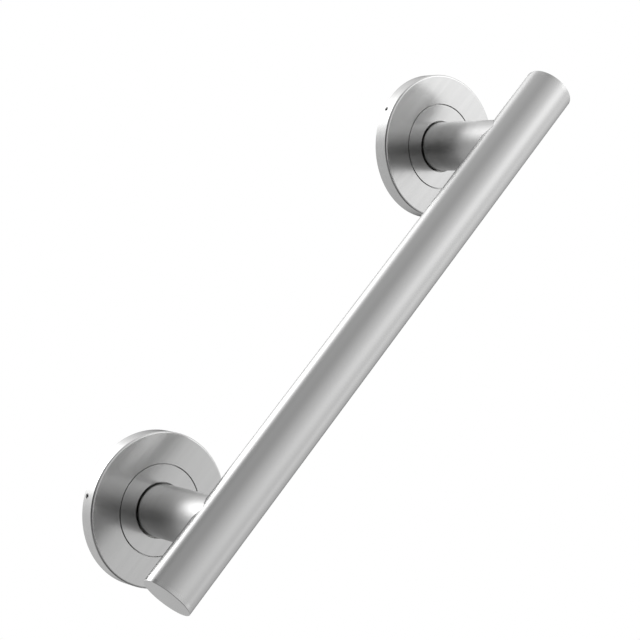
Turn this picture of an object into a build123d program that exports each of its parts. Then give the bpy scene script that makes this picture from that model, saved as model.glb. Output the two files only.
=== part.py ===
# Grab bar: a straight capped tube on two saddle-cut posts, each held in a round rosette
# with a concealed fixing. Millimetres. The wall is the plane Y = 0, the room is at -Y, the
# bar runs along X and the origin lies on the wall, midway between the posts.
import os
from math import cos, radians, sin, sqrt

from build123d import *

# Grip tube and posts
TUBE_OD = 31.8
TUBE_WALL = 1.5
POST_SPACING = 308.0  # between the two post axes
OVERHANG = 51.0  # bar end past the post axis
AXIS_TO_WALL = 73.0
POST_UNDER_TUBE = 0.1  # the posts are a hair slimmer, so the saddle's tips end on the tube
POST_WALL = 1.5

# End caps
CAP_THICKNESS = 2.5
CAP_EDGE_ROUND = 0.3
CAP_SPIGOT_LENGTH = 10.0
CAP_SPIGOT_CHAMFER = 0.8

# Rosette: outer cover ring and inner collar, flush at the front
ROSETTE_OD = 93.4
ROSETTE_THICKNESS = 10.5
ROSETTE_EDGE_ROUND = 1.2
ROSETTE_BACK_CHAMFER = 0.1
COVER_FRONT_WALL = 2.5
COVER_RIM_WALL = 3.5
SEAM_RING_OD = 55.1  # middle of the seam between ring and collar
SEAM_GAP = 0.5
SEAM_EDGE_BREAK = 0.15
COLLAR_FLANGE_WIDTH = 2.4  # the step on the collar that the cover ring holds down
POST_GAP = 0.85  # between post and collar

# Fixing plate and wall gasket
GASKET_THICKNESS = 1.0
PLATE_THICKNESS = 5.0
PLATE_CLEARANCE = 0.2  # radial, inside the cover ring's rim
WALL_SCREW_COUNT = 3
WALL_SCREW_LAND = 2.0  # what the plate keeps outside each screw's head
WALL_SCREW_HOLE = 5.5
WALL_SCREW_HEAD = 10.5
WALL_SCREW_TURN = 90.0  # the first hole is straight up
GASKET_INNER_D = 26.0
PLATE_EDGE_CHAMFER = 0.5

# Post foot with its fixing bolt and locating pin
FOOT_LENGTH = 18.0
FOOT_CHAMFER = 1.0
BOLT_D = 8.0
BOLT_HEAD_D = 16.0
BOLT_LENGTH = 18.0
BOLT_SOCKET_AF = 5.0
BOLT_SOCKET_DEPTH = 3.0
BOLT_HOLE_D = 8.4  # in the plate
BOLT_TIP_CHAMFER = 0.8
PIN_D = 3.0
PIN_LENGTH = 8.0
PIN_LAND = 2.35  # what the foot keeps outside the pin
PIN_SKIN = 1.0  # what stays of the plate behind the pin
DRILL_EXTRA = 2.0  # depth of the tapped hole past the bolt's tip

# Set screw in each rim, with its point in a groove round the plate
SET_SCREW_D = 3.0
SET_SCREW_SOCKET_AF = 1.5
SET_SCREW_SOCKET_DEPTH = 1.8
SET_SCREW_RECESS = 0.3
SET_SCREW_FROM_WALL = 3.2
SET_SCREW_CLEARANCE = 0.02  # radial, in its tapped hole
POINT_CLEARANCE = 0.05  # between the point and the groove
GROOVE_DEPTH = 1.3
LEFT_SCREW_ANGLE = 285.0  # from +X toward +Z, so both sit underneath
RIGHT_SCREW_ANGLE = 300.0

# Values that follow from the ones above
TUBE_R = TUBE_OD / 2
TUBE_BORE_R = TUBE_R - TUBE_WALL
POST_R = (TUBE_OD - POST_UNDER_TUBE) / 2
POST_BORE_R = POST_R - POST_WALL
ROSETTE_R = ROSETTE_OD / 2
COVER_RIM_BORE_R = ROSETTE_R - COVER_RIM_WALL
COVER_MOUTH_R = (SEAM_RING_OD + SEAM_GAP) / 2
COLLAR_R = (SEAM_RING_OD - SEAM_GAP) / 2
COLLAR_BORE_R = POST_R + POST_GAP
COVER_LEDGE = ROSETTE_THICKNESS - COVER_FRONT_WALL
PLATE_FRONT = GASKET_THICKNESS + PLATE_THICKNESS
PLATE_R = COVER_RIM_BORE_R - PLATE_CLEARANCE
WALL_SCREW_PCD = 2 * (PLATE_R - WALL_SCREW_LAND) - WALL_SCREW_HEAD
BAR_LENGTH = POST_SPACING + 2 * OVERHANG
TUBE_LENGTH = BAR_LENGTH - 2 * CAP_THICKNESS
PIN_OFFSET = POST_BORE_R - PIN_LAND - PIN_D / 2
BOLT_R = BOLT_D / 2
BOLT_HEAD_R = BOLT_HEAD_D / 2
SCREW_R = SET_SCREW_D / 2


def tube(outer_r, inner_r, start, end):
    """A round tube along the local Z axis, from start to end."""
    body = Cylinder(outer_r, end - start, align=(Align.CENTER, Align.CENTER, Align.MIN))
    if inner_r:
        body -= Cylinder(inner_r, end - start, align=(Align.CENTER, Align.CENTER, Align.MIN))
    return Pos(0, 0, start) * body


def turned(points):
    """A solid turned about the local Z axis from its half section, given as (radius, height)."""
    return revolve(make_face(Plane.XZ * Polyline(*points, close=True)), Axis.Z)


def hex_socket(across_flats, start, depth):
    """The hollow of a hexagon socket along the local Z axis."""
    return Pos(0, 0, start) * extrude(RegularPolygon(across_flats / sqrt(3), 6), depth)


def on_circle(diameter, angle):
    """A place on a circle about the local Z axis."""
    return Pos(diameter / 2 * cos(radians(angle)), diameter / 2 * sin(radians(angle)), 0)


def edges_at(part, radius, height):
    """The round edges of a turned part that have this radius and height."""
    return [
        e
        for e in part.edges().filter_by(GeomType.CIRCLE)
        if abs(e.radius - radius) < 1e-3 and abs(e.arc_center.Z - height) < 1e-3
    ]


# Grip tube, along X at the bar's height from the wall

def grip_tube():
    body = tube(TUBE_R, TUBE_BORE_R, -TUBE_LENGTH / 2, TUBE_LENGTH / 2)
    return Pos(0, -AXIS_TO_WALL, 0) * Rot(0, 90, 0) * body


def end_cap():
    """A cap with its outer face at local Z = 0, and its spigot toward -Z."""
    spigot_end = -CAP_THICKNESS - CAP_SPIGOT_LENGTH
    body = turned(
        [
            (0, 0),
            (TUBE_R, 0),
            (TUBE_R, -CAP_THICKNESS),
            (TUBE_BORE_R, -CAP_THICKNESS),
            (TUBE_BORE_R, spigot_end + CAP_SPIGOT_CHAMFER),
            (TUBE_BORE_R - CAP_SPIGOT_CHAMFER, spigot_end),
            (0, spigot_end),
        ]
    )
    return fillet(edges_at(body, TUBE_R, 0), CAP_EDGE_ROUND)


# One end of the bar. Local Z is the distance from the wall, on the post's axis.

def post():
    body = tube(POST_R, POST_BORE_R, PLATE_FRONT, AXIS_TO_WALL)
    bar = Pos(0, 0, AXIS_TO_WALL) * Rot(0, 90, 0) * Cylinder(TUBE_R, BAR_LENGTH)
    return body - bar


def post_foot():
    end = PLATE_FRONT + FOOT_LENGTH
    body = turned(
        [
            (0, PLATE_FRONT),
            (POST_BORE_R, PLATE_FRONT),
            (POST_BORE_R, end - FOOT_CHAMFER),
            (POST_BORE_R - FOOT_CHAMFER, end),
            (0, end),
        ]
    )
    body -= tube(BOLT_R, 0, PLATE_FRONT, GASKET_THICKNESS + BOLT_LENGTH + DRILL_EXTRA)
    return body - locating_pin()


def locating_pin():
    start = GASKET_THICKNESS + PIN_SKIN
    return Pos(PIN_OFFSET, 0, 0) * tube(PIN_D / 2, 0, start, start + PIN_LENGTH)


def fixing_plate():
    groove = SET_SCREW_FROM_WALL
    body = turned(
        [
            (0, GASKET_THICKNESS),
            (PLATE_R, GASKET_THICKNESS),
            (PLATE_R, groove - GROOVE_DEPTH),
            (PLATE_R - GROOVE_DEPTH, groove),
            (PLATE_R, groove + GROOVE_DEPTH),
            (PLATE_R, PLATE_FRONT - PLATE_EDGE_CHAMFER),
            (PLATE_R - PLATE_EDGE_CHAMFER, PLATE_FRONT),
            (0, PLATE_FRONT),
        ]
    )
    head_depth = (WALL_SCREW_HEAD - WALL_SCREW_HOLE) / 2
    screw_hole = turned(
        [
            (0, GASKET_THICKNESS),
            (WALL_SCREW_HOLE / 2, GASKET_THICKNESS),
            (WALL_SCREW_HOLE / 2, PLATE_FRONT - head_depth),
            (WALL_SCREW_HEAD / 2, PLATE_FRONT),
            (0, PLATE_FRONT),
        ]
    )
    bolt_hole = turned(
        [
            (0, GASKET_THICKNESS),
            (BOLT_HEAD_R, GASKET_THICKNESS),
            (BOLT_HOLE_D / 2, GASKET_THICKNESS + BOLT_HEAD_R - BOLT_HOLE_D / 2),
            (BOLT_HOLE_D / 2, PLATE_FRONT),
            (0, PLATE_FRONT),
        ]
    )
    for place in wall_screw_places():
        body -= place * screw_hole
    return body - bolt_hole - locating_pin()


def wall_screw_places():
    step = 360 / WALL_SCREW_COUNT
    return [on_circle(WALL_SCREW_PCD, WALL_SCREW_TURN + i * step) for i in range(WALL_SCREW_COUNT)]


def wall_gasket():
    body = tube(PLATE_R - PLATE_EDGE_CHAMFER, GASKET_INNER_D / 2, 0, GASKET_THICKNESS)
    for place in wall_screw_places():
        body -= place * tube(WALL_SCREW_HOLE / 2, 0, 0, GASKET_THICKNESS)
    return body


def fixing_bolt():
    """A countersunk bolt, its head flush with the back of the plate."""
    head_end = GASKET_THICKNESS + BOLT_HEAD_R - BOLT_R
    tip = GASKET_THICKNESS + BOLT_LENGTH
    body = turned(
        [
            (0, GASKET_THICKNESS),
            (BOLT_HEAD_R, GASKET_THICKNESS),
            (BOLT_R, head_end),
            (BOLT_R, tip - BOLT_TIP_CHAMFER),
            (BOLT_R - BOLT_TIP_CHAMFER, tip),
            (0, tip),
        ]
    )
    return body - hex_socket(BOLT_SOCKET_AF, GASKET_THICKNESS, BOLT_SOCKET_DEPTH)


def collar():
    flange_r = COVER_MOUTH_R + COLLAR_FLANGE_WIDTH
    body = turned(
        [
            (COLLAR_BORE_R, PLATE_FRONT),
            (flange_r, PLATE_FRONT),
            (flange_r, COVER_LEDGE),
            (COLLAR_R, COVER_LEDGE),
            (COLLAR_R, ROSETTE_THICKNESS),
            (COLLAR_BORE_R, ROSETTE_THICKNESS),
        ]
    )
    fine_edges = edges_at(body, COLLAR_R, ROSETTE_THICKNESS)
    fine_edges += edges_at(body, COLLAR_BORE_R, ROSETTE_THICKNESS)
    return chamfer(fine_edges, SEAM_EDGE_BREAK)


def cover_ring(screw_angle):
    body = turned(
        [
            (COVER_RIM_BORE_R, 0),
            (ROSETTE_R - ROSETTE_BACK_CHAMFER, 0),
            (ROSETTE_R, ROSETTE_BACK_CHAMFER),
            (ROSETTE_R, ROSETTE_THICKNESS),
            (COVER_MOUTH_R, ROSETTE_THICKNESS),
            (COVER_MOUTH_R, COVER_LEDGE),
            (COVER_RIM_BORE_R, COVER_LEDGE),
        ]
    )
    body = fillet(edges_at(body, ROSETTE_R, ROSETTE_THICKNESS), ROSETTE_EDGE_ROUND)
    body = chamfer(edges_at(body, COVER_MOUTH_R, ROSETTE_THICKNESS), SEAM_EDGE_BREAK)
    drill = tube(SCREW_R + SET_SCREW_CLEARANCE, 0, ROSETTE_R - 2 * COVER_RIM_WALL, ROSETTE_R)
    return body - in_rim(drill, screw_angle)


def set_screw(angle):
    """A hexagon socket set screw with a cone point, inside the rim's tapped hole."""
    top = ROSETTE_R - SET_SCREW_RECESS
    apex = PLATE_R - GROOVE_DEPTH + POINT_CLEARANCE
    body = turned([(0, apex), (SCREW_R, apex + SCREW_R), (SCREW_R, top), (0, top)])
    body -= hex_socket(SET_SCREW_SOCKET_AF, top - SET_SCREW_SOCKET_DEPTH, SET_SCREW_SOCKET_DEPTH)
    return in_rim(body, angle)


def in_rim(body, angle):
    """Lays a body made along local Z into the rim, pointing out at this angle."""
    return Pos(0, 0, SET_SCREW_FROM_WALL) * Rot(0, 0, angle) * Rot(0, 90, 0) * body


# Every piece, in place

def at_post(side, body):
    """Moves one end's piece to its post. Side is -1 for the left end and 1 for the right."""
    return Pos(side * POST_SPACING / 2, 0, 0) * Rot(90, 0, 0) * body


def at_bar_end(side, body):
    return Pos(side * BAR_LENGTH / 2, -AXIS_TO_WALL, 0) * Rot(0, side * 90, 0) * body


parts = {"grip_tube": grip_tube()}
for name, side, screw_angle in (("left", -1, LEFT_SCREW_ANGLE), ("right", 1, RIGHT_SCREW_ANGLE)):
    parts[f"{name}_end_cap"] = at_bar_end(side, end_cap())
    parts[f"{name}_post"] = at_post(side, post())
    parts[f"{name}_post_foot"] = at_post(side, post_foot())
    parts[f"{name}_fixing_bolt"] = at_post(side, fixing_bolt())
    parts[f"{name}_locating_pin"] = at_post(side, locating_pin())
    parts[f"{name}_fixing_plate"] = at_post(side, fixing_plate())
    parts[f"{name}_wall_gasket"] = at_post(side, wall_gasket())
    parts[f"{name}_collar"] = at_post(side, collar())
    parts[f"{name}_cover_ring"] = at_post(side, cover_ring(screw_angle))
    parts[f"{name}_set_screw"] = at_post(side, set_screw(screw_angle))

os.makedirs("parts", exist_ok=True)
for name, body in parts.items():
    export_step(body, f"parts/{name}.step")
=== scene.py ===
"""Looks of the grab bar: its finishes, its threads and gaskets, the plain studio and the camera.

Metres. The wall is the plane Y = 0, the room is at -Y and the bar runs along X.
"""

import logging
import math
from dataclasses import dataclass, field
from enum import Enum

import bmesh
import bpy
from mathutils import Euler, Matrix, Vector


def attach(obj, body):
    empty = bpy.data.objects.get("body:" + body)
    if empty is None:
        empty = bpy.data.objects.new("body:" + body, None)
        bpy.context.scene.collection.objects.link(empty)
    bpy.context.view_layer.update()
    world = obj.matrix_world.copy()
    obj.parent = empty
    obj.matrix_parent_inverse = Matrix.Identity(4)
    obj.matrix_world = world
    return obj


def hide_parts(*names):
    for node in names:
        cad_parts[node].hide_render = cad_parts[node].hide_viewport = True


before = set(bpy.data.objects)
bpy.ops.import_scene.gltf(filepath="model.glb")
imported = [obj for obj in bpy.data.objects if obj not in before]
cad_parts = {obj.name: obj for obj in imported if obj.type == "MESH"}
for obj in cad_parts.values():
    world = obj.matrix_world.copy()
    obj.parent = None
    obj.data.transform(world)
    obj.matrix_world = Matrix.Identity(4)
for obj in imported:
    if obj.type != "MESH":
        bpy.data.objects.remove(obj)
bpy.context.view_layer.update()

LOG = logging.getLogger("grab_bar")
MM = 0.001
POST_SPACING = 308.0 * MM
AXIS_TO_WALL = 73.0 * MM
BAR_RADIUS = 15.9 * MM
SHARPEST_SMOOTH_ANGLE = 40.0
MERGE_DISTANCE = 0.001 * MM

Socket = bpy.types.NodeSocket
Colour = tuple[float, float, float]
Vec = tuple[float, float, float]


class Side(Enum):
    """The two ends of the bar, as seen from the room."""

    LEFT = -1
    RIGHT = 1

    @property
    def label(self) -> str:
        """The word that starts the names of this end's nodes."""
        return self.name.lower()


class Grain(Enum):
    """The way the brushing lines run."""

    ROUND_BAR = "round the bar's axis"
    ROUND_POST = "round the post's axis"
    ROSETTE = "straight on the face, round the rim"
    TURNED = "round the post's axis, from the lathe"
    CAP = "as the bar on the rim, plain on the face"


@dataclass
class Wiring:
    """Adds nodes to a shader tree or a geometry tree and joins them."""

    tree: bpy.types.NodeTree

    def node(
        self, kind: str, values: dict[object, object] | None = None, **settings: object
    ) -> bpy.types.Node:
        """Adds a node.

        Args:
            kind: Blender's name of the node type.
            values: input name or number to a socket or a plain value.
            settings: the node's own settings.

        Returns:
            The node.
        """
        node = self.tree.nodes.new(kind)
        for label, value in settings.items():
            setattr(node, label, value)
        for label, value in (values or {}).items():
            if isinstance(value, Socket):
                self.tree.links.new(value, node.inputs[label])
            else:
                node.inputs[label].default_value = value
        return node

    def math(self, operation: str, *values: object) -> Socket:
        """Adds a Math node on numbers or sockets and returns its output."""
        return self.node("ShaderNodeMath", dict(enumerate(values)), operation=operation).outputs[0]

    def vector_math(self, operation: str, *values: object) -> bpy.types.Node:
        """Adds a Vector Math node and returns it."""
        return self.node("ShaderNodeVectorMath", dict(enumerate(values)), operation=operation)

    def xyz(self, x: object = 0.0, y: object = 0.0, z: object = 0.0) -> Socket:
        """Joins three numbers or sockets to a vector."""
        return self.node("ShaderNodeCombineXYZ", {0: x, 1: y, 2: z}).outputs[0]

    def split(self, vector: Socket) -> bpy.types.NodeOutputs:
        """Splits a vector into its three numbers."""
        return self.node("ShaderNodeSeparateXYZ", {0: vector}).outputs

    def span(
        self, value: Socket, low: object, high: object, to_low: float = 0.0, to_high: float = 1.0
    ) -> Socket:
        """Maps a value smoothly from low..high to to_low..to_high and returns the result."""
        return self.node(
            "ShaderNodeMapRange",
            {0: value, 1: low, 2: high, 3: to_low, 4: to_high},
            interpolation_type="SMOOTHSTEP",
        ).outputs[0]

    def mix_colour(self, factor: Socket, low: object, high: object) -> Socket:
        """Mixes two colours by a mask and returns the result."""
        node = self.tree.nodes.new("ShaderNodeMix")
        node.data_type = "RGBA"
        self.tree.links.new(factor, node.inputs["Factor"])
        for label, value in (("A", low), ("B", high)):
            socket = next(s for s in node.inputs if s.name == label and s.type == "RGBA")
            if isinstance(value, Socket):
                self.tree.links.new(value, socket)
            else:
                socket.default_value = (*value, 1.0)
        return next(s for s in node.outputs if s.type == "RGBA")

    def mix_vector(self, factor: Socket, low: Vec, high: Vec) -> Socket:
        """Mixes two fixed directions by a mask and returns the result."""
        node = self.tree.nodes.new("ShaderNodeMix")
        node.data_type = "VECTOR"
        blend = next(s for s in node.inputs if s.name == "Factor" and s.type == "VALUE")
        self.tree.links.new(factor, blend)
        for label, value in (("A", low), ("B", high)):
            socket = next(s for s in node.inputs if s.name == label and s.type == "VECTOR")
            socket.default_value = value
        return next(s for s in node.outputs if s.type == "VECTOR")


SocketPlan = dict[str, tuple[str, object]]


def start_tree(
    kind: str, name: str, inputs: SocketPlan, outputs: dict[str, str]
) -> tuple[Wiring, bpy.types.NodeOutputs, bpy.types.NodeInputs]:
    """Starts a node group with named sockets.

    Args:
        kind: Blender's name of the tree type.
        name: the group's name.
        inputs: socket name to its type and its default value.
        outputs: socket name to its type.

    Returns:
        The wiring of the tree, what it is given and what it puts out.
    """
    tree = bpy.data.node_groups.new(name, kind)
    for label, (socket_type, default) in inputs.items():
        socket = tree.interface.new_socket(label, in_out="INPUT", socket_type=socket_type)
        if default is not None:
            socket.default_value = default
    for label, socket_type in outputs.items():
        tree.interface.new_socket(label, in_out="OUTPUT", socket_type=socket_type)
    given = tree.nodes.new("NodeGroupInput")
    out = tree.nodes.new("NodeGroupOutput")
    return Wiring(tree), given.outputs, out.inputs


def brushed_grain_group() -> bpy.types.NodeTree:
    """Builds the group of brushing lines: fine lines, broad bands and a height for a Bump node."""
    w, given, out = start_tree(
        "ShaderNodeTree",
        "brushed_grain",
        {
            "Place": ("NodeSocketVector", None),
            "Stretch": ("NodeSocketVector", (1.0, 1.0, 1.0)),
            "Band Ratio": ("NodeSocketFloat", 0.12),
            "Seed": ("NodeSocketFloat", 0.0),
        },
        {"Lines": "NodeSocketFloat", "Bands": "NodeSocketFloat", "Height": "NodeSocketFloat"},
    )
    place = w.vector_math("MULTIPLY", given["Place"], given["Stretch"]).outputs[0]
    place = w.vector_math("ADD", place, given["Seed"]).outputs[0]
    fine = w.node(
        "ShaderNodeTexNoise", {"Vector": place, "Scale": 1.0, "Detail": 1.0, "Roughness": 0.5}
    ).outputs[0]
    broad = w.node(
        "ShaderNodeTexNoise", {"Vector": place, "Scale": given["Band Ratio"], "Detail": 2.0, "Roughness": 0.5}
    ).outputs[0]
    lines = w.span(fine, 0.28, 0.72)
    bands = w.span(broad, 0.3, 0.7)
    w.tree.links.new(lines, out["Lines"])
    w.tree.links.new(bands, out["Bands"])
    line_share = 0.65
    height = w.math(
        "ADD", w.math("MULTIPLY", lines, line_share), w.math("MULTIPLY", bands, 1.0 - line_share)
    )
    w.tree.links.new(height, out["Height"])
    return w.tree


def edge_wear_group() -> bpy.types.NodeTree:
    """Builds the group of edge wear and painted edge highlight: a broken mask that grows toward an edge at a
    given distance.
    """
    w, given, out = start_tree(
        "ShaderNodeTree",
        "edge_wear_and_highlight",
        {
            "Place": ("NodeSocketVector", None),
            "Distance": ("NodeSocketFloat", 0.0),
            "Width": ("NodeSocketFloat", 0.0004),
            "Breakup": ("NodeSocketFloat", 300.0),
        },
        {"Wear": "NodeSocketFloat"},
    )
    near = w.span(w.math("ABSOLUTE", given["Distance"]), given["Width"], 0.0)
    patchy = w.node(
        "ShaderNodeTexNoise", {"Vector": given["Place"], "Scale": given["Breakup"], "Detail": 2.0}
    ).outputs[0]
    w.tree.links.new(w.math("MULTIPLY", near, w.span(patchy, 0.25, 0.7, 0.7, 1.0)), out["Wear"])
    return w.tree


def fine_marks_group() -> bpy.types.NodeTree:
    """Builds the group of handling marks: rare short scratches and soft cloudy patches."""
    w, given, out = start_tree(
        "ShaderNodeTree",
        "fine_marks",
        {
            "Place": ("NodeSocketVector", None),
            "Scale": ("NodeSocketFloat", 60.0),
            "Cloud Scale": ("NodeSocketFloat", 25.0),
            "Scratch Width": ("NodeSocketFloat", 0.012),
            "Seed": ("NodeSocketFloat", 0.0),
        },
        {"Scratches": "NodeSocketFloat", "Clouds": "NodeSocketFloat"},
    )
    place = w.vector_math("ADD", given["Place"], given["Seed"]).outputs[0]
    cells = w.node(
        "ShaderNodeTexVoronoi", {"Vector": place, "Scale": given["Scale"]}, feature="DISTANCE_TO_EDGE"
    ).outputs[0]
    rare = w.node("ShaderNodeTexNoise", {"Vector": place, "Scale": given["Scale"], "Detail": 1.0}).outputs[0]
    scratch = w.math("MULTIPLY", w.span(cells, given["Scratch Width"], 0.0), w.span(rare, 0.56, 0.66))
    w.tree.links.new(scratch, out["Scratches"])
    clouds = w.node(
        "ShaderNodeTexNoise", {"Vector": place, "Scale": given["Cloud Scale"], "Detail": 3.0}
    ).outputs[0]
    w.tree.links.new(w.span(clouds, 0.3, 0.7), out["Clouds"])
    return w.tree


@dataclass
class SharedGroups:
    """The shader node groups that the finishes draw on. Only the rosettes have worn edges, lightened as a
    painted highlight.
    """

    grain: bpy.types.NodeTree = field(default_factory=brushed_grain_group)
    wear: bpy.types.NodeTree = field(default_factory=edge_wear_group)
    marks: bpy.types.NodeTree = field(default_factory=fine_marks_group)


@dataclass(frozen=True)
class Bump:
    """The small bumps of a finish: how strong, how deep and the pattern that they follow."""

    strength: float
    distance: float
    height: Socket


@dataclass(frozen=True)
class Edge:
    """A worn round edge on a rosette, lightened as a painted highlight: its radius and where its centre is on
    the left and the right.
    """

    radius: float
    centre_x: float

    def distance(self, w: Wiring, place: Socket) -> Socket:
        """Adds the nodes that measure how far a point is from this edge and returns the result."""
        x, _, z = w.split(place)
        across = w.math("SUBTRACT", w.math("ABSOLUTE", x), self.centre_x)
        radius = w.math("SQRT", w.math("ADD", w.math("POWER", across, 2.0), w.math("POWER", z, 2.0)))
        return w.math("SUBTRACT", radius, self.radius)


def shade(colour: Colour, factor: float) -> Colour:
    """Makes a colour darker or lighter and returns it."""
    return tuple(min(1.0, part * factor) for part in colour)


def start_material(
    name: str, metallic: float
) -> tuple[bpy.types.Material, Wiring, bpy.types.NodeInputs, Socket]:
    """Starts a material on a Principled shader.

    Args:
        name: the material's name.
        metallic: 1 for metal, 0 for rubber.

    Returns:
        The material, its wiring, the shader's inputs and the Object coordinates.
    """
    material = bpy.data.materials.new(name)
    material.use_nodes = True
    w = Wiring(material.node_tree)
    shader = w.tree.nodes["Principled BSDF"].inputs
    shader["Metallic"].default_value = metallic
    return material, w, shader, w.node("ShaderNodeTexCoord").outputs["Object"]


def finish_material(
    w: Wiring, shader: bpy.types.NodeInputs, colour: Socket, rough: Socket, bump: Bump
) -> None:
    """Joins the colour, the roughness and the bumps to the shader."""
    w.tree.links.new(colour, shader["Base Color"])
    w.tree.links.new(rough, shader["Roughness"])
    values = {"Strength": bump.strength, "Distance": bump.distance, "Height": bump.height}
    w.tree.links.new(w.node("ShaderNodeBump", values).outputs[0], shader["Normal"])


@dataclass(frozen=True)
class BrushedSteel:
    """Satin stainless steel with brushing lines, soft marks and, where edges are given, worn edges with a
    painted highlight.
    """

    name: str
    grain: Grain
    colour: Colour = (0.62, 0.62, 0.618)
    roughness: float = 0.2
    roughness_play: float = 0.02
    anisotropy: float = 0.5
    line_width: float = 0.4 * MM
    line_length: float = 14.0 * MM
    bump: float = 0.05
    colour_play: float = 0.02
    edges: tuple[Edge, ...] = ()
    edge_roughness: float = 0.2
    # painted highlight: how much lighter the colour is along the worn edges
    edge_lightness: float = 1.12
    cloud_roughness: float = 0.02
    scratch_depth: float = 0.12
    line_depth: float = 0.006 * MM
    seed: float = 0.0

    def stretch(self) -> Vec:
        """How far the lines are squeezed along each axis."""
        fine, long = 1 / self.line_width, 1 / self.line_length
        return {
            Grain.ROUND_BAR: (fine, long, long),
            Grain.CAP: (fine, long, long),
            Grain.ROUND_POST: (long, fine, long),
            Grain.TURNED: (long, fine, long),
            Grain.ROSETTE: (long, fine, fine),
        }[self.grain]

    def tangent(self, w: Wiring) -> Socket:
        """Adds the direction across the lines, which the gloss is drawn out along, and returns it."""
        if self.grain is Grain.ROUND_BAR:
            return w.xyz(x=1.0)
        if self.grain in (Grain.ROUND_POST, Grain.TURNED):
            return w.node("ShaderNodeTangent", direction_type="RADIAL", axis="Y").outputs[0]
        normal = w.split(w.node("ShaderNodeNewGeometry").outputs["Normal"])
        if self.grain is Grain.ROSETTE:
            on_face = w.span(w.math("ABSOLUTE", normal[1]), 0.9, 0.99)
            return w.mix_vector(on_face, (0.0, 1.0, 0.0), (0.0, 0.0, 1.0))
        on_face = w.span(w.math("ABSOLUTE", normal[0]), 0.6, 0.9)
        return w.mix_vector(on_face, (1.0, 0.0, 0.0), (0.0, 0.0, 1.0))

    def build(self, groups: SharedGroups) -> bpy.types.Material:
        """Builds the material.

        Args:
            groups: the shared shader groups.

        Returns:
            The finished material.
        """
        material, w, shader, place = start_material(self.name, metallic=1.0)
        shader["Anisotropic"].default_value = self.anisotropy
        grain = w.node(
            "ShaderNodeGroup", {"Place": place, "Stretch": self.stretch(), "Seed": self.seed},
            node_tree=groups.grain,
        ).outputs
        marks = w.node("ShaderNodeGroup", {"Place": place, "Seed": self.seed}, node_tree=groups.marks).outputs
        w.tree.links.new(self.tangent(w), shader["Tangent"])
        low, high = self.roughness - self.roughness_play, self.roughness + self.roughness_play
        rough = w.span(grain["Lines"], 0.0, 1.0, low, high)
        rough = w.math("ADD", rough, w.math("MULTIPLY", marks["Clouds"], self.cloud_roughness))
        colour = w.mix_colour(
            grain["Bands"], shade(self.colour, 1 - self.colour_play), shade(self.colour, 1 + self.colour_play)
        )
        for edge in self.edges:
            values = {"Place": place, "Distance": edge.distance(w, place)}
            wear = w.node("ShaderNodeGroup", values, node_tree=groups.wear).outputs["Wear"]
            rough = w.math("ADD", rough, w.math("MULTIPLY", wear, self.edge_roughness))
            # painted highlight: the colour is lightened along the worn edge; the roughness above is the wear
            colour = w.mix_colour(wear, colour, shade(self.colour, self.edge_lightness))
        height = w.math(
            "SUBTRACT", grain["Height"], w.math("MULTIPLY", marks["Scratches"], self.scratch_depth)
        )
        finish_material(w, shader, colour, rough, Bump(self.bump, self.line_depth, height))
        return material


@dataclass(frozen=True)
class PlainSteel:
    """Plain machined steel, for screws and the weld seams, whose darker colour is partly painted crease
    shade.
    """

    name: str
    colour: Colour = (0.4, 0.4, 0.4)
    roughness: float = 0.34
    smoother_by: float = 0.06
    rougher_by: float = 0.08
    dark_patches: float = 0.9
    speck_scale: float = 2400.0
    speck_bump: float = 0.3
    speck_depth: float = 0.01 * MM

    def build(self, groups: SharedGroups) -> bpy.types.Material:
        """Builds the material from the shared groups and returns it."""
        material, w, shader, place = start_material(self.name, metallic=1.0)
        specks = w.node(
            "ShaderNodeTexNoise", {"Vector": place, "Scale": self.speck_scale, "Detail": 3.0}
        ).outputs[0]
        marks = w.node("ShaderNodeGroup", {"Place": place}, node_tree=groups.marks).outputs
        rough = w.span(specks, 0.3, 0.7, self.roughness - self.smoother_by, self.roughness + self.rougher_by)
        colour = w.mix_colour(marks["Clouds"], shade(self.colour, self.dark_patches), self.colour)
        finish_material(w, shader, colour, rough, Bump(self.speck_bump, self.speck_depth, specks))
        return material


@dataclass(frozen=True)
class Rubber:
    """Matt black rubber with a fine moulded texture."""

    name: str = "moulded_rubber"
    colour: Colour = (0.06, 0.06, 0.065)
    dusty_patches: float = 1.9
    smoothest: float = 0.62
    roughest: float = 0.82
    pore_scale: float = 3200.0
    pore_bump: float = 0.4
    pore_depth: float = 0.03 * MM

    def build(self, groups: SharedGroups) -> bpy.types.Material:
        """Builds the material from the shared groups and returns it."""
        material, w, shader, place = start_material(self.name, metallic=0.0)
        pores = w.node(
            "ShaderNodeTexNoise", {"Vector": place, "Scale": self.pore_scale, "Detail": 2.0}
        ).outputs[0]
        marks = w.node("ShaderNodeGroup", {"Place": place}, node_tree=groups.marks).outputs
        colour = w.mix_colour(marks["Clouds"], self.colour, shade(self.colour, self.dusty_patches))
        rough = w.span(pores, 0.3, 0.7, self.smoothest, self.roughest)
        finish_material(w, shader, colour, rough, Bump(self.pore_bump, self.pore_depth, pores))
        return material


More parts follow.
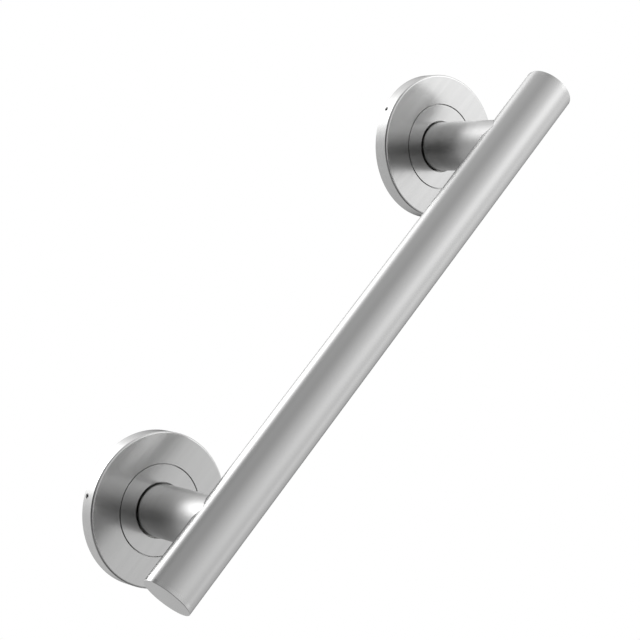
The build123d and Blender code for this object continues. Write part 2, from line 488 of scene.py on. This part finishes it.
def saddle_tube_tree() -> bpy.types.NodeTree:
    """Builds a tube along Z whose far end follows a round bar that crosses it along X.

    Returns:
        The tree. With a bar radius of 0 the far end is cut straight.
    """
    w, given, out = start_tree(
        "GeometryNodeTree",
        "saddle_tube",
        {
            "Radius": ("NodeSocketFloat", 0.01),
            "Bore Radius": ("NodeSocketFloat", 0.009),
            "Start": ("NodeSocketFloat", 0.0),
            "Bar Distance": ("NodeSocketFloat", 0.07),
            "Bar Radius": ("NodeSocketFloat", 0.0),
            "Around": ("NodeSocketInt", 192),
            "Along": ("NodeSocketInt", 24),
            "Material": ("NodeSocketMaterial", None),
        },
        {"Geometry": "NodeSocketGeometry"},
    )
    rows = w.math("ADD", w.math("MULTIPLY", given["Along"], 2.0), 2.0)
    grid = w.node(
        "GeometryNodeMeshGrid",
        {
            "Size X": 1.0,
            "Size Y": 1.0,
            "Vertices X": w.math("ADD", given["Around"], 1.0),
            "Vertices Y": w.math("ADD", rows, 1.0),
        },
    )
    place = w.split(w.node("GeometryNodeInputPosition").outputs[0])
    turn = w.math("MULTIPLY", w.math("ADD", place[0], 0.5), math.tau)
    row = w.math("ROUND", w.math("MULTIPLY", w.math("ADD", place[1], 0.5), rows))
    inside = w.math(
        "MULTIPLY",
        w.math("GREATER_THAN", row, w.math("ADD", given["Along"], 0.5)),
        w.math("LESS_THAN", row, w.math("SUBTRACT", rows, 0.5)),
    )
    back = w.math("DIVIDE", w.math("SUBTRACT", w.math("SUBTRACT", rows, 1.0), row), given["Along"])
    forth = w.math("DIVIDE", row, given["Along"])
    forth = w.math("MULTIPLY", forth, w.math("LESS_THAN", row, w.math("SUBTRACT", rows, 0.5)))
    outside = w.math("SUBTRACT", 1.0, inside)
    share = w.math("ADD", w.math("MULTIPLY", inside, back), w.math("MULTIPLY", outside, forth))
    wall = w.math("SUBTRACT", given["Radius"], given["Bore Radius"])
    radius = w.math("SUBTRACT", given["Radius"], w.math("MULTIPLY", inside, wall))
    x = w.math("MULTIPLY", radius, w.math("COSINE", turn))
    y = w.math("MULTIPLY", radius, w.math("SINE", turn))
    under = w.math("SUBTRACT", w.math("POWER", given["Bar Radius"], 2.0), w.math("POWER", y, 2.0))
    end = w.math("SUBTRACT", given["Bar Distance"], w.math("SQRT", w.math("MAXIMUM", under, 0.0)))
    z = w.math("ADD", given["Start"], w.math("MULTIPLY", share, w.math("SUBTRACT", end, given["Start"])))
    shaped = w.node("GeometryNodeSetPosition", {"Geometry": grid.outputs[0], "Position": w.xyz(x, y, z)})
    merged = w.node(
        "GeometryNodeMergeByDistance", {"Geometry": shaped.outputs[0], "Distance": MERGE_DISTANCE}
    )
    finish_tree(w, merged.outputs[0], given["Material"], out)
    return w.tree


def saddle_seam_tree() -> bpy.types.NodeTree:
    """Builds a fine bead that follows the saddle between a post and the bar, and returns the tree."""
    w, given, out = start_tree(
        "GeometryNodeTree",
        "saddle_seam",
        {
            "Radius": ("NodeSocketFloat", 0.01),
            "Bar Distance": ("NodeSocketFloat", 0.07),
            "Bar Radius": ("NodeSocketFloat", 0.0159),
            "Bead Radius": ("NodeSocketFloat", 0.0002),
            "Around": ("NodeSocketInt", 192),
            "Material": ("NodeSocketMaterial", None),
        },
        {"Geometry": "NodeSocketGeometry"},
    )
    ring = w.node(
        "GeometryNodeCurvePrimitiveCircle", {"Resolution": given["Around"], "Radius": given["Radius"]}
    ).outputs[0]
    place = w.split(w.node("GeometryNodeInputPosition").outputs[0])
    under = w.math("SUBTRACT", w.math("POWER", given["Bar Radius"], 2.0), w.math("POWER", place[1], 2.0))
    z = w.math("SUBTRACT", given["Bar Distance"], w.math("SQRT", w.math("MAXIMUM", under, 0.0)))
    path = w.node("GeometryNodeSetPosition", {"Geometry": ring, "Position": w.xyz(place[0], place[1], z)})
    bead = w.node("GeometryNodeCurvePrimitiveCircle", {"Resolution": 8, "Radius": given["Bead Radius"]})
    swept = w.node("GeometryNodeCurveToMesh", {"Curve": path.outputs[0], "Profile Curve": bead.outputs[0]})
    finish_tree(w, swept.outputs[0], given["Material"], out)
    return w.tree


def cut_thread_tree() -> bpy.types.NodeTree:
    """Builds the tree that cuts a right-hand thread into a turned blank along Z, and returns it."""
    w, given, out = start_tree(
        "GeometryNodeTree",
        "cut_thread",
        {
            "Blank": ("NodeSocketGeometry", None),
            "Pitch": ("NodeSocketFloat", 0.00125),
            "Depth": ("NodeSocketFloat", 0.0007),
            "Crest Radius": ("NodeSocketFloat", 0.004),
            "From": ("NodeSocketFloat", 0.0),
            "To": ("NodeSocketFloat", 0.01),
            "Material": ("NodeSocketMaterial", None),
        },
        {"Geometry": "NodeSocketGeometry"},
    )
    place = w.split(w.node("GeometryNodeInputPosition").outputs[0])
    radius = w.math("SQRT", w.math("ADD", w.math("POWER", place[0], 2.0), w.math("POWER", place[1], 2.0)))
    turns = w.math("DIVIDE", w.math("ARCTAN2", place[1], place[0]), math.tau)
    phase = w.math("FRACT", w.math("SUBTRACT", w.math("DIVIDE", place[2], given["Pitch"]), turns))
    crest = w.math("ABSOLUTE", w.math("SUBTRACT", w.math("MULTIPLY", phase, 2.0), 1.0))
    lead_in = w.span(place[2], given["From"], w.math("ADD", given["From"], given["Pitch"]))
    run_out = w.span(place[2], given["To"], w.math("SUBTRACT", given["To"], given["Pitch"]))
    on_crest = w.math("GREATER_THAN", radius, w.math("MULTIPLY", given["Crest Radius"], 0.97))
    cut = w.math("MULTIPLY", w.math("SUBTRACT", 1.0, crest), given["Depth"])
    cut = w.math("MULTIPLY", w.math("MULTIPLY", cut, on_crest), w.math("MULTIPLY", lead_in, run_out))
    scale = w.math("SUBTRACT", 1.0, w.math("DIVIDE", cut, w.math("MAXIMUM", radius, 1e-6)))
    moved = w.xyz(w.math("MULTIPLY", place[0], scale), w.math("MULTIPLY", place[1], scale), place[2])
    shaped = w.node("GeometryNodeSetPosition", {"Geometry": given["Blank"], "Position": moved})
    finish_tree(w, shaped.outputs[0], given["Material"], out)
    return w.tree


def ribbed_gasket_tree() -> bpy.types.NodeTree:
    """Builds a flat ring along Z with sealing ribs on its wall side and screw holes, and returns the tree."""
    w, given, out = start_tree(
        "GeometryNodeTree",
        "ribbed_gasket",
        {
            "Outer Radius": ("NodeSocketFloat", 0.0425),
            "Inner Radius": ("NodeSocketFloat", 0.013),
            "Thickness": ("NodeSocketFloat", 0.001),
            "Ribs": ("NodeSocketInt", 12),
            "Rib Depth": ("NodeSocketFloat", 0.0003),
            "Screw Circle": ("NodeSocketFloat", 0.03575),
            "Screw Hole": ("NodeSocketFloat", 0.00275),
            "Screws": ("NodeSocketInt", 3),
            "Around": ("NodeSocketInt", 144),
            "Material": ("NodeSocketMaterial", None),
        },
        {"Geometry": "NodeSocketGeometry"},
    )
    rib_rows = w.math("MULTIPLY", given["Ribs"], 6.0)
    rows = w.math("ADD", rib_rows, 2.0)
    grid = w.node(
        "GeometryNodeMeshGrid",
        {
            "Size X": 1.0,
            "Size Y": 1.0,
            "Vertices X": w.math("ADD", given["Around"], 1.0),
            "Vertices Y": w.math("ADD", rows, 1.0),
        },
    )
    place = w.split(w.node("GeometryNodeInputPosition").outputs[0])
    turn = w.math("MULTIPLY", w.math("ADD", place[0], 0.5), math.tau)
    row = w.math("ROUND", w.math("MULTIPLY", w.math("ADD", place[1], 0.5), rows))
    on_back = w.math("LESS_THAN", row, w.math("ADD", rib_rows, 0.5))
    last = w.math("GREATER_THAN", row, w.math("SUBTRACT", rows, 0.5))
    on_back = w.math("MAXIMUM", on_back, last)
    share = w.math("DIVIDE", w.math("MULTIPLY", row, w.math("SUBTRACT", 1.0, last)), rib_rows)
    front_in = w.math("GREATER_THAN", row, w.math("ADD", rib_rows, 1.5))
    front_share = w.math("SUBTRACT", 1.0, front_in)
    on_front = w.math("SUBTRACT", 1.0, on_back)
    share = w.math("ADD", w.math("MULTIPLY", on_back, share), w.math("MULTIPLY", on_front, front_share))
    width = w.math("SUBTRACT", given["Outer Radius"], given["Inner Radius"])
    radius = w.math("ADD", given["Inner Radius"], w.math("MULTIPLY", share, width))
    wave = w.math("COSINE", w.math("MULTIPLY", w.math("MULTIPLY", share, given["Ribs"]), math.tau))
    dip = w.math("MULTIPLY", w.math("SUBTRACT", 1.0, wave), w.math("MULTIPLY", given["Rib Depth"], 0.5))
    z = w.math(
        "ADD",
        w.math("MULTIPLY", on_back, dip),
        w.math("MULTIPLY", on_front, given["Thickness"]),
    )
    x = w.math("MULTIPLY", radius, w.math("COSINE", turn))
    y = w.math("MULTIPLY", radius, w.math("SINE", turn))
    shaped = w.node("GeometryNodeSetPosition", {"Geometry": grid.outputs[0], "Position": w.xyz(x, y, z)})
    ring = w.node(
        "GeometryNodeMergeByDistance", {"Geometry": shaped.outputs[0], "Distance": MERGE_DISTANCE}
    ).outputs[0]
    spots = w.node(
        "GeometryNodeMeshCircle", {"Vertices": given["Screws"], "Radius": given["Screw Circle"]}
    ).outputs[0]
    upright = w.node(
        "GeometryNodeTransform", {"Geometry": spots, "Rotation": (0.0, 0.0, math.pi / 2)}
    ).outputs[0]
    drill = w.node(
        "GeometryNodeMeshCylinder", {"Vertices": 40, "Radius": given["Screw Hole"], "Depth": 0.02}
    ).outputs[0]
    drills = w.node("GeometryNodeInstanceOnPoints", {"Points": upright, "Instance": drill}).outputs[0]
    drills = w.node("GeometryNodeRealizeInstances", {"Geometry": drills}).outputs[0]
    bored = w.node("GeometryNodeMeshBoolean", operation="DIFFERENCE", solver="EXACT")
    w.tree.links.new(ring, bored.inputs["Mesh 1"])
    w.tree.links.new(drills, bored.inputs["Mesh 2"])
    finish_tree(w, bored.outputs[0], given["Material"], out)
    return w.tree


def finish_tree(w: Wiring, geometry: Socket, material: Socket, out: bpy.types.NodeInputs) -> None:
    """Ends a geometry tree in Realize Instances and Set Material."""
    real = w.node("GeometryNodeRealizeInstances", {"Geometry": geometry}).outputs[0]
    dressed = w.node("GeometryNodeSetMaterial", {"Geometry": real, "Material": material}).outputs[0]
    w.tree.links.new(dressed, out["Geometry"])


@dataclass
class Workshop:
    """Makes pieces from geometry trees and fixes them to the frame."""

    trees: dict[str, bpy.types.NodeTree] = field(default_factory=dict)

    def tree(self, name: str) -> bpy.types.NodeTree:
        """Gets a geometry tree by name, building it once."""
        makers = {
            "saddle_tube": saddle_tube_tree,
            "saddle_seam": saddle_seam_tree,
            "cut_thread": cut_thread_tree,
            "ribbed_gasket": ribbed_gasket_tree,
        }
        if name not in self.trees:
            self.trees[name] = makers[name]()
        return self.trees[name]

    def make(
        self, name: str, tree_name: str, values: dict[str, object], place: Matrix,
        replaces: str | None = None, blank: bpy.types.Mesh | None = None,
    ) -> bpy.types.Object:
        """Makes one piece and fixes it to the frame.

        Args:
            name: the piece's name.
            tree_name: the geometry tree that shapes it.
            values: the tree's inputs by name.
            place: where its local axes lie in the frame.
            replaces: the CAD node that it stands for, if any.
            blank: the mesh that the tree starts from, if any.

        Returns:
            The finished piece.
        """
        tree = self.tree(tree_name)
        piece = bpy.data.objects.new(name, blank or bpy.data.meshes.new(name))
        bpy.context.scene.collection.objects.link(piece)
        modifier = piece.modifiers.new(tree_name, "NODES")
        modifier.node_group = tree
        for item in tree.interface.items_tree:
            if item.name in values:
                modifier[item.identifier] = values[item.name]
        shaped = piece.evaluated_get(bpy.context.evaluated_depsgraph_get())
        mesh = bpy.data.meshes.new_from_object(shaped)
        piece.modifiers.clear()
        mesh.transform(place)
        point_outwards(mesh)
        mesh.name = name
        piece.data = mesh
        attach(piece, "root")
        if replaces:
            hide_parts(replaces)
        LOG.info("%s: %s, %d faces", name, tree_name, len(mesh.polygons))
        return piece


def point_outwards(mesh: bpy.types.Mesh) -> None:
    """Turns a closed mesh's faces outwards and shades it smooth between its sharp edges."""
    work = bmesh.new()
    work.from_mesh(mesh)
    bmesh.ops.recalc_face_normals(work, faces=work.faces)
    work.to_mesh(mesh)
    work.free()
    mesh.shade_smooth()
    mesh.set_sharp_from_angle(angle=math.radians(SHARPEST_SMOOTH_ANGLE))


def dress(node_name: str, material: bpy.types.Material) -> None:
    """Gives a CAD node a material in each of its slots."""
    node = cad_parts[node_name]
    if not node.material_slots:
        node.data.materials.append(material)
    for slot in node.material_slots:
        slot.material = material
    LOG.info("%s: %s, %d faces", node_name, material.name, len(node.data.polygons))


def at_post(side: Side, spacing: float) -> Matrix:
    """Where one post's local axes lie: local Z leads from the wall into the room."""
    return Matrix.Translation((side.value * spacing / 2, 0, 0)) @ Matrix.Rotation(math.pi / 2, 4, "X")


@dataclass(frozen=True)
class Row:
    """One ring of points of a turned blank: round, or hexagonal by its width across flats."""

    size: float
    height: float
    hexagonal: bool = False

    def radius(self, turn: float) -> float:
        """How far the ring's point at this turn is from the axis."""
        if not self.hexagonal:
            return self.size
        sixth = math.pi / 3
        return self.size / 2 / math.cos((turn % sixth) - sixth / 2)


def turned_blank(name: str, rows: list[Row], around: int = 48) -> bpy.types.Mesh:
    """Builds a closed turned mesh along Z from its rings.

    Args:
        name: the mesh's name.
        rows: the rings in order; a first and a last ring of size 0 close the ends.
        around: points in each ring.

    Returns:
        The mesh.
    """
    mesh = bpy.data.meshes.new(name)
    work = bmesh.new()
    rings: list[list[bmesh.types.BMVert]] = []
    for row in rows:
        if row.size == 0:
            rings.append([work.verts.new((0, 0, row.height))] * around)
            continue
        turns = [math.tau * i / around for i in range(around)]
        rings.append(
            [
                work.verts.new((row.radius(t) * math.cos(t), row.radius(t) * math.sin(t), row.height))
                for t in turns
            ]
        )
    for low, high in zip(rings, rings[1:]):
        for i in range(around):
            j = (i + 1) % around
            corners = list(dict.fromkeys([low[i], low[j], high[j], high[i]]))
            work.faces.new(corners)
    work.to_mesh(mesh)
    work.free()
    return mesh


def threaded_rows(radius: float, start: float, end: float, pitch: float) -> list[Row]:
    """The closely spaced rings that a thread is cut into."""
    rings_per_turn = 8
    count = max(rings_per_turn, round((end - start) / pitch * rings_per_turn))
    return [Row(radius, start + (end - start) * i / count) for i in range(count + 1)]


@dataclass
class GripBar:
    """The grip tube with its two end caps."""

    radius: float = BAR_RADIUS
    bore_radius: float = 14.4 * MM
    length: float = 410.0 * MM
    cap_thickness: float = 2.5 * MM
    axis_to_wall: float = AXIS_TO_WALL

    def build(self, shop: Workshop, tube: bpy.types.Material, cap: bpy.types.Material) -> None:
        """Builds the tube and dresses the caps.

        Args:
            shop: makes the tube.
            tube: the tube's finish.
            cap: the caps' finish.
        """
        half = self.length / 2 - self.cap_thickness
        place = Matrix.Translation((0, -self.axis_to_wall, 0)) @ Matrix.Rotation(math.pi / 2, 4, "Y")
        values = {
            "Radius": self.radius, "Bore Radius": self.bore_radius, "Start": -half, "Bar Distance": half,
            "Bar Radius": 0.0, "Around": 256, "Along": 40, "Material": tube,
        }
        shop.make("grip_tube_brushed", "saddle_tube", values, place, "grip_tube")
        for side in Side:
            dress(f"{side.label}_end_cap", cap)


@dataclass
class Post:
    """A post with its saddle cut and the fine seam where it is welded to the grip tube."""

    side: Side
    spacing: float = POST_SPACING
    radius: float = 15.85 * MM
    bore_radius: float = 14.35 * MM
    start: float = 6.0 * MM
    bar_radius: float = BAR_RADIUS
    bar_distance: float = AXIS_TO_WALL
    seam_radius: float = 0.08 * MM

    def build(self, shop: Workshop, steel: bpy.types.Material, seam: bpy.types.Material) -> None:
        """Builds the post and its seam.

        Args:
            shop: makes the pieces.
            steel: the post's finish.
            seam: the seam's finish, darkened as painted shade in the crease.
        """
        place = at_post(self.side, self.spacing)
        label = self.side.label
        saddle = {"Radius": self.radius, "Bar Distance": self.bar_distance, "Bar Radius": self.bar_radius}
        values = {
            **saddle, "Bore Radius": self.bore_radius, "Start": self.start, "Around": 192, "Along": 24,
            "Material": steel,
        }
        shop.make(f"{label}_saddle_post", "saddle_tube", values, place, f"{label}_post")
        values = {**saddle, "Bead Radius": self.seam_radius, "Around": 192, "Material": seam}
        shop.make(f"{label}_saddle_seam", "saddle_seam", values, place)


@dataclass
class Rosette:
    """A rosette: cover ring, collar and the set screw in the rim."""

    side: Side
    spacing: float = POST_SPACING
    radius: float = 46.7 * MM
    worn_rim_radius: float = 46.3 * MM
    collar_edge_radius: float = 27.6 * MM
    screw_from_wall: float = 3.2 * MM
    screw_radius: float = 1.5 * MM
    screw_recess: float = 0.3 * MM
    screw_tip: float = 41.75 * MM
    screw_pitch: float = 0.5 * MM
    thread_depth: float = 0.28 * MM
    lead_in: float = 0.2 * MM
    chamfer: float = 0.12 * MM
    socket_chamfer: float = 0.06 * MM
    socket_flats: float = 1.5 * MM
    drill_point: float = 0.2 * MM
    socket_depth: float = 1.8 * MM

    @property
    def screw_angle(self) -> float:
        """Where the set screw sits in the rim, from +X toward +Z."""
        return math.radians({Side.LEFT: 285.0, Side.RIGHT: 300.0}[self.side])

    def worn_edges(self) -> tuple[Edge, Edge]:
        """The rim's rounded edge and the collar's edge, where the finish is worn and lightened as a painted
        highlight.
        """
        return Edge(self.worn_rim_radius, self.spacing / 2), Edge(self.collar_edge_radius, self.spacing / 2)

    def build(self, shop: Workshop, steel: bpy.types.Material, screw: bpy.types.Material) -> None:
        """Dresses the two rings and builds the set screw.

        Args:
            shop: makes the screw.
            steel: the rings' finish.
            screw: the screw's finish.
        """
        label = self.side.label
        dress(f"{label}_cover_ring", steel)
        dress(f"{label}_collar", steel)
        top, r = self.radius - self.screw_recess, self.screw_radius
        cone_end = self.screw_tip + r
        rows = [Row(0, self.screw_tip), Row(r * 0.5, self.screw_tip + r * 0.5)]
        rows += threaded_rows(r, cone_end, top - self.chamfer, self.screw_pitch)
        rows += [
            Row(r - self.chamfer, top),
            Row(self.socket_flats + self.chamfer, top, True),
            Row(self.socket_flats, top - self.socket_chamfer, True),
            Row(self.socket_flats, top - self.socket_depth, True),
            Row(0, top - self.socket_depth - self.drill_point),
        ]
        values = {
            "Pitch": self.screw_pitch, "Depth": self.thread_depth, "Crest Radius": r,
            "From": cone_end - self.lead_in, "To": top, "Material": screw,
        }
        in_rim = (
            Matrix.Translation((0, 0, self.screw_from_wall))
            @ Matrix.Rotation(self.screw_angle, 4, "Z")
            @ Matrix.Rotation(math.pi / 2, 4, "Y")
        )
        shop.make(
            f"{label}_grub_screw", "cut_thread", values, at_post(self.side, self.spacing) @ in_rim,
            f"{label}_set_screw", turned_blank(f"{label}_screw_blank", rows),
        )


@dataclass
class WallFixing:
    """What holds a post to the wall: plate, gasket, foot, bolt and locating pin."""

    side: Side
    spacing: float = POST_SPACING
    gasket_thickness: float = 1.0 * MM
    gasket_radius: float = 42.5 * MM
    gasket_bore: float = 13.0 * MM
    ribs: int = 12
    rib_depth: float = 0.3 * MM
    screws: int = 3
    screw_circle: float = 35.75 * MM
    screw_hole: float = 2.75 * MM
    bolt_radius: float = 4.0 * MM
    bolt_head_radius: float = 8.0 * MM
    bolt_length: float = 18.0 * MM
    bolt_pitch: float = 1.25 * MM
    bolt_thread_depth: float = 0.72 * MM
    bolt_tip_chamfer: float = 0.8 * MM
    bolt_neck: float = 0.5 * MM
    bolt_around: int = 60
    socket_chamfer: float = 0.2 * MM
    head_chamfer: float = 0.1 * MM
    socket_flats: float = 5.0 * MM
    socket_depth: float = 3.0 * MM

    def build(
        self, shop: Workshop, plate: bpy.types.Material, screw: bpy.types.Material, rubber: bpy.types.Material
    ) -> None:
        """Dresses the plate, foot and pin, and builds the gasket and the bolt.

        Args:
            shop: makes the pieces.
            plate: the finish of the plate and the foot.
            screw: the finish of the bolt and the pin.
            rubber: the gasket's material.
        """
        label = self.side.label
        place = at_post(self.side, self.spacing)
        dress(f"{label}_fixing_plate", plate)
        dress(f"{label}_post_foot", plate)
        dress(f"{label}_locating_pin", screw)
        values = {
            "Outer Radius": self.gasket_radius, "Inner Radius": self.gasket_bore,
            "Thickness": self.gasket_thickness, "Ribs": self.ribs, "Rib Depth": self.rib_depth,
            "Screw Circle": self.screw_circle, "Screw Hole": self.screw_hole, "Screws": self.screws,
            "Around": 144, "Material": rubber,
        }
        shop.make(
            f"{label}_ribbed_gasket", "ribbed_gasket", values, place, f"{label}_wall_gasket"
        )
        back, tip = self.gasket_thickness, self.gasket_thickness + self.bolt_length
        head_end = back + self.bolt_head_radius - self.bolt_radius
        rows = [
            Row(0, back + self.socket_depth),
            Row(self.socket_flats, back + self.socket_depth, True),
            Row(self.socket_flats, back + self.socket_chamfer, True),
            Row(self.socket_flats + 2 * self.socket_chamfer, back, True),
            Row(self.bolt_head_radius - 2 * self.head_chamfer, back),
            Row(self.bolt_head_radius - self.head_chamfer, back + self.head_chamfer),
        ]
        rows += threaded_rows(self.bolt_radius, head_end, tip - self.bolt_tip_chamfer, self.bolt_pitch)
        rows += [Row(self.bolt_radius - self.bolt_tip_chamfer, tip), Row(0, tip)]
        values = {
            "Pitch": self.bolt_pitch, "Depth": self.bolt_thread_depth, "Crest Radius": self.bolt_radius,
            "From": head_end + self.bolt_neck, "To": tip, "Material": screw,
        }
        shop.make(
            f"{label}_threaded_bolt", "cut_thread", values, place, f"{label}_fixing_bolt",
            turned_blank(f"{label}_bolt_blank", rows, self.bolt_around),
        )


@dataclass(frozen=True)
class Panel:
    """A soft-edged studio panel far away.

    Attributes:
        name: what it is.
        seen_at: where it stands as the camera sees it: how far right, up and near.
        spread: how wide it is, in degrees.
        strength: the share of the background that a flag hides, or the light that a softbox adds.
    """

    name: str
    seen_at: Vec
    spread: float
    strength: float

    def add(
        self, w: Wiring, group: bpy.types.NodeTree, direction: Socket, camera_axes: Matrix
    ) -> Socket:
        """Adds the panel to the sky and returns its strength in each direction."""
        values = {
            "Direction": direction,
            "Towards": (camera_axes @ Vector(self.seen_at)).normalized(),
            "Sharpness": 1 / math.radians(self.spread) ** 2,
            "Strength": self.strength,
        }
        return w.node("ShaderNodeGroup", values, node_tree=group, label=self.name).outputs[0]


def panel_group() -> bpy.types.NodeTree:
    """Builds the group that gives one panel's strength in a direction of the sky."""
    w, given, out = start_tree(
        "ShaderNodeTree",
        "studio_panel",
        {
            "Direction": ("NodeSocketVector", None),
            "Towards": ("NodeSocketVector", (0.0, 0.0, 1.0)),
            "Sharpness": ("NodeSocketFloat", 10.0),
            "Strength": ("NodeSocketFloat", 1.0),
        },
        {"Amount": "NodeSocketFloat"},
    )
    aligned = w.vector_math("DOT_PRODUCT", given["Direction"], given["Towards"]).outputs["Value"]
    fall = w.math("EXPONENT", w.math("MULTIPLY", w.math("SUBTRACT", aligned, 1.0), given["Sharpness"]))
    w.tree.links.new(w.math("MULTIPLY", fall, given["Strength"]), out["Amount"])
    return w.tree


FLAGS = (
    Panel("dark table below", (0.0, -1.0, 0.2), 42.0, 0.97),
    Panel("dark corner behind", (0.1, -0.05, -1.0), 20.0, 0.95),
    Panel("black card at the left", (-0.85, 0.05, 0.5), 26.0, 0.97),
    Panel("black card at the upper left", (-0.75, 0.65, 0.0), 16.0, 0.8),
    Panel("black card round the camera", (-0.2, -0.2, 0.95), 24.0, 0.97),
    Panel("grey card above", (-0.1, 0.85, 0.5), 24.0, 0.5),
)
SOFTBOXES = (
    Panel("softbox at the right", (0.93, 0.35, 0.1), 12.0, 1.5),
    Panel("low softbox at the right", (0.9, -0.35, -0.25), 9.0, 0.4),
    Panel("softbox behind, at the left", (-0.7, 0.4, -0.55), 11.0, 4.5),
)


@dataclass
class Studio:
    """The pale floor, the soft light and the camera."""

    floor_z: float = -1.3
    floor_size: float = 12.0
    floor_grey: float = 0.9
    floor_roughness: float = 0.85
    floor_whitening: float = 0.7
    lens: float = 99.8
    sensor_width: float = 36.0
    camera_place: Vec = (0.41788, -0.88629, -0.52757)
    camera_turn: Vec = (-125.439, -33.783, -132.588)

    @property
    def axes(self) -> Matrix:
        """The camera's own axes in the frame: right, up and back."""
        return Euler([math.radians(angle) for angle in self.camera_turn]).to_matrix()

    def camera(self) -> bpy.types.Object:
        """Adds the camera where the photograph was taken from."""
        data = bpy.data.cameras.new("camera")
        data.lens = self.lens
        data.sensor_width = self.sensor_width
        data.clip_start = 0.01
        camera = bpy.data.objects.new("camera", data)
        camera.matrix_world = Matrix.Translation(self.camera_place) @ self.axes.to_4x4()
        bpy.context.scene.collection.objects.link(camera)
        bpy.context.scene.camera = camera
        return camera

    def sky(self) -> bpy.types.World:
        """Builds the white background at strength 1, with the studio's panels in front of it.

        Metal shows the background and the panels. The camera, and glass, see the background alone.
        """
        world = bpy.data.worlds.new("studio")
        world.use_nodes = True
        w = Wiring(world.node_tree)
        direction = w.vector_math("NORMALIZE", w.node("ShaderNodeTexCoord").outputs["Generated"]).outputs[0]
        group = panel_group()
        light: float | Socket = 1.0
        for flag in FLAGS:
            hidden = flag.add(w, group, direction, self.axes)
            light = w.math("MULTIPLY", light, w.math("SUBTRACT", 1.0, hidden))
        for softbox in SOFTBOXES:
            light = w.math("ADD", light, softbox.add(w, group, direction, self.axes))
        rays = w.node("ShaderNodeLightPath").outputs
        plain = w.math("MAXIMUM", rays["Is Camera Ray"], rays["Is Transmission Ray"])
        light = w.math("ADD", w.math("MULTIPLY", light, w.math("SUBTRACT", 1.0, plain)), plain)
        background = w.tree.nodes["Background"]
        background.inputs["Color"].default_value = (1.0, 1.0, 1.0, 1.0)
        w.tree.links.new(light, background.inputs["Strength"])
        bpy.context.scene.world = world
        return world

    def floor(self) -> bpy.types.Object:
        """Lays the pale floor, well below the bar. Metal sees through it to the background."""
        half = self.floor_size / 2
        mesh = bpy.data.meshes.new("floor")
        corners = [(-half, -half), (half, -half), (half, half), (-half, half)]
        mesh.from_pydata([(x, y, self.floor_z) for x, y in corners], [], [(0, 1, 2, 3)])
        floor = bpy.data.objects.new("floor", mesh)
        material = bpy.data.materials.new("floor_pale")
        material.use_nodes = True
        w = Wiring(material.node_tree)
        shader = w.tree.nodes["Principled BSDF"]
        shader.inputs["Base Color"].default_value = (self.floor_grey, self.floor_grey, self.floor_grey, 1.0)
        shader.inputs["Roughness"].default_value = self.floor_roughness
        rays = w.node("ShaderNodeLightPath").outputs
        white = w.node("ShaderNodeEmission", {"Strength": 1.0}).outputs[0]
        clear = w.node("ShaderNodeBsdfTransparent").outputs[0]
        whitening = w.math("MULTIPLY", rays["Is Camera Ray"], self.floor_whitening)
        pale = w.node("ShaderNodeMixShader", {0: whitening, 1: shader.outputs[0], 2: white})
        seen = w.node("ShaderNodeMixShader", {0: rays["Is Glossy Ray"], 1: pale.outputs[0], 2: clear})
        w.tree.links.new(seen.outputs[0], w.tree.nodes["Material Output"].inputs["Surface"])
        mesh.materials.append(material)
        bpy.context.scene.collection.objects.link(floor)
        return floor

    def build(self) -> None:
        """Builds the whole studio."""
        self.sky()
        self.floor()
        self.camera()
        bpy.context.scene.view_settings.view_transform = "Standard"


def main() -> None:
    """Builds the finishes, the pieces and the studio."""
    logging.basicConfig(level=logging.INFO, format="%(name)s %(message)s")
    groups = SharedGroups()
    shop = Workshop()
    bar = GripBar()
    bar_steel = BrushedSteel(
        "satin_bar",
        Grain.ROUND_BAR,
        roughness=0.33,
        roughness_play=0.0,
        line_width=0.8 * MM,
        line_length=40.0 * MM,
        bump=0.12,
        colour_play=0.0,
    ).build(groups)
    cap_steel = BrushedSteel("satin_cap", Grain.CAP).build(groups)
    post_steel = BrushedSteel("satin_post", Grain.ROUND_POST, roughness=0.32, seed=3.0).build(groups)
    ring_steel = BrushedSteel(
        "satin_rosette",
        Grain.ROSETTE,
        anisotropy=0.3,
        bump=0.1,
        edges=Rosette(Side.LEFT).worn_edges(),
        seed=7.0,
    ).build(groups)
    plate_steel = BrushedSteel(
        "turned_plate",
        Grain.TURNED,
        colour=(0.52, 0.52, 0.51),
        roughness=0.4,
        line_width=0.5 * MM,
        seed=11.0,
    ).build(groups)
    screw_steel = PlainSteel("machined_screw").build(groups)
    # The weld seam is darker than the posts: partly the bead's own finish, partly painted shade of the
    # crease.
    seam_shade_steel = PlainSteel("ground_seam_shaded", colour=(0.3, 0.3, 0.3), roughness=0.4).build(groups)
    rubber = Rubber().build(groups)
    bar.build(shop, bar_steel, cap_steel)
    for side in Side:
        Post(side).build(shop, post_steel, seam_shade_steel)
        Rosette(side).build(shop, ring_steel, screw_steel)
        WallFixing(side).build(shop, plate_steel, screw_steel, rubber)
    Studio().build()


if __name__ == "__main__":
    main()
